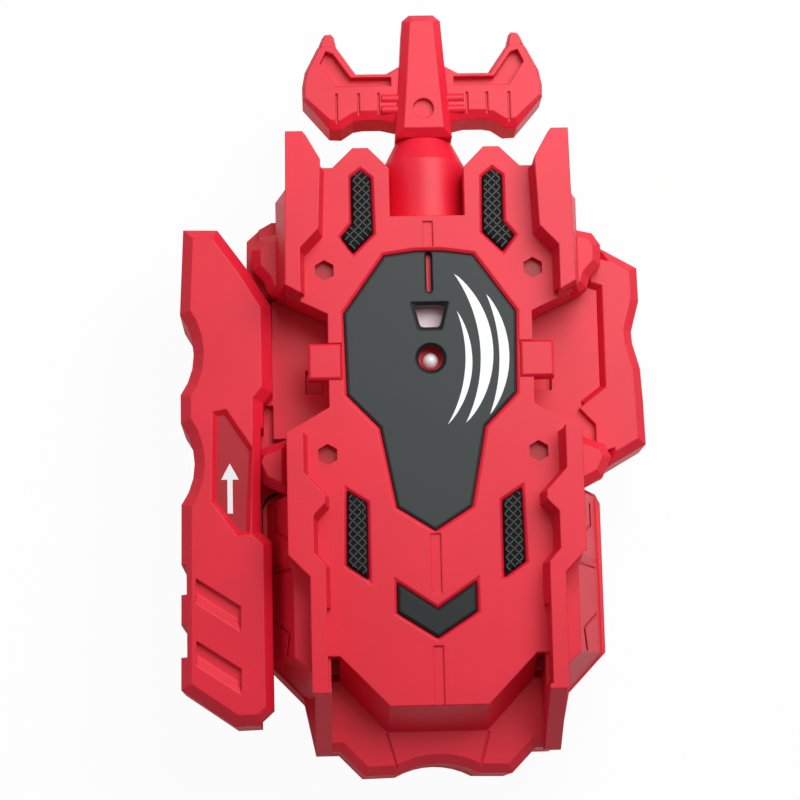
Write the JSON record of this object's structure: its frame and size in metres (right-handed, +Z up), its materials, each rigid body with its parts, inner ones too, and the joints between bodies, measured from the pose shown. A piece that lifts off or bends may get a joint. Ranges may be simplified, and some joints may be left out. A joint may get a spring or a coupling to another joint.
{
  "type": "spinning top launcher",
  "caption": "Hand-held launcher that spins a top from a chuck underneath when its string handle is pulled, with a side frame that slides to reverse the spin.",
  "frame": {"origin": "on the launch axis, at the tip of the launch spigot", "axes": "+Z up out of the panel, along the launch axis; +Y towards the pull handle, the way the string is pulled; +X towards the wing of the side frame, away from the grip"},
  "size_m": [0.0808, 0.1327, 0.0397],
  "materials": {
    "red_case": "satin red ABS with a light sheen",
    "dark_panel": "dark grey satin plastic with a fine grain",
    "black_pad": "black rubber with a diamond knurl",
    "fork_black": "black acetal",
    "steel": "plain steel",
    "pearl": "pearl white, glossy",
    "spring_steel": "blued spring steel",
    "string": "white braided cord",
    "gear_ivory": "natural acetal",
    "clutch_brass": "bright brass",
    "chuck_ivory": "natural acetal"
  },
  "bodies": {
    "casing": {"upper_shell": "red_case", "lower_shell": "red_case", "centre_panel": "dark_panel", "front_left_pad": "black_pad", "front_right_pad": "black_pad", "rear_left_pad": "black_pad", "rear_right_pad": "black_pad", "chevron_inlay": "dark_panel", "left_guide_tab": "red_case", "right_guide_tab": "red_case", "string_nozzle": "red_case", "case_screws": "steel", "spool_axle": "steel", "idler_pin": "steel", "fork_guide_pin": "steel", "recoil_spring": "spring_steel", "pull_string": "string"},
    "side_frame": {"slide_frame": "red_case", "left_grip": "red_case"},
    "spool": {"string_spool": "gear_ivory", "drive_gear": "gear_ivory", "string_winding": "string"},
    "handle": {"pull_handle": "red_case", "string_knot": "string"},
    "upper_pinion": {"upper_gear": "gear_ivory"},
    "lower_pinion": {"lower_gear": "gear_ivory"},
    "idler": {"idler_gear": "gear_ivory"},
    "chuck": {"launch_chuck": "chuck_ivory", "hex_shaft": "red_case", "centre_axle": "pearl", "ejector_spring": "spring_steel"},
    "clutch": {"clutch_disc": "clutch_brass"},
    "fork": {"shift_fork": "fork_black"},
    "ejector": {"ejector_pin": "steel"}
  },
  "joints": [
    {"name": "frame_slide", "type": "slide", "parent": "casing", "child": "side_frame", "axis": [-1, 0, 0], "range_m": [0, 0.008]},
    {"name": "spool_turn", "type": "hinge", "parent": "casing", "child": "spool", "pos_m": [0, -0.024, 0], "axis": [0, 0, 1], "range_deg": [0, 2700]},
    {"name": "handle_pull", "type": "slide", "parent": "casing", "child": "handle", "axis": [0, 1, 0], "range_m": [0, 0.48066], "stiffness_N_per_m": 8, "springref_m": -0.25},
    {"name": "upper_pinion_turn", "type": "hinge", "parent": "casing", "child": "upper_pinion", "pos_m": [0, 0, 0], "axis": [0, 0, 1], "range_deg": [-5400, 0]},
    {"name": "lower_pinion_turn", "type": "hinge", "parent": "casing", "child": "lower_pinion", "pos_m": [0, 0, 0], "axis": [0, 0, 1], "range_deg": [0, 5400]},
    {"name": "idler_turn", "type": "hinge", "parent": "casing", "child": "idler", "pos_m": [-0.00826, -0.00801, 0], "axis": [0, 0, 1], "range_deg": [-7020, 0]},
    {"name": "chuck_turn", "type": "hinge", "parent": "casing", "child": "chuck", "pos_m": [0, 0, 0], "axis": [0, 0, 1], "range_deg": [-5400, 0]},
    {"name": "clutch_shift", "type": "slide", "parent": "chuck", "child": "clutch", "axis": [0, 0, -1], "range_m": [0, 0.0024]},
    {"name": "fork_shift", "type": "slide", "parent": "casing", "child": "fork", "axis": [0, 0, -1], "range_m": [0, 0.0024]},
    {"name": "ejector_push", "type": "slide", "parent": "chuck", "child": "ejector", "axis": [0, 0, 1], "range_m": [0, 0.003], "stiffness_N_per_m": 150, "springref_m": -0.003, "deforming": ["ejector_spring"]}
  ],
  "couplings": [
    {"joint": "spool_turn", "follows": "handle_pull", "rad_per_m": 98.039},
    {"joint": "upper_pinion_turn", "follows": "handle_pull", "rad_per_m": -196.08},
    {"joint": "lower_pinion_turn", "follows": "handle_pull", "rad_per_m": 196.08},
    {"joint": "idler_turn", "follows": "handle_pull", "rad_per_m": -254.9},
    {"joint": "chuck_turn", "follows": "handle_pull", "rad_per_m": -196.08},
    {"joint": "clutch_shift", "follows": "frame_slide", "ratio": 0.3},
    {"joint": "fork_shift", "follows": "frame_slide", "ratio": 0.3}
  ]
}
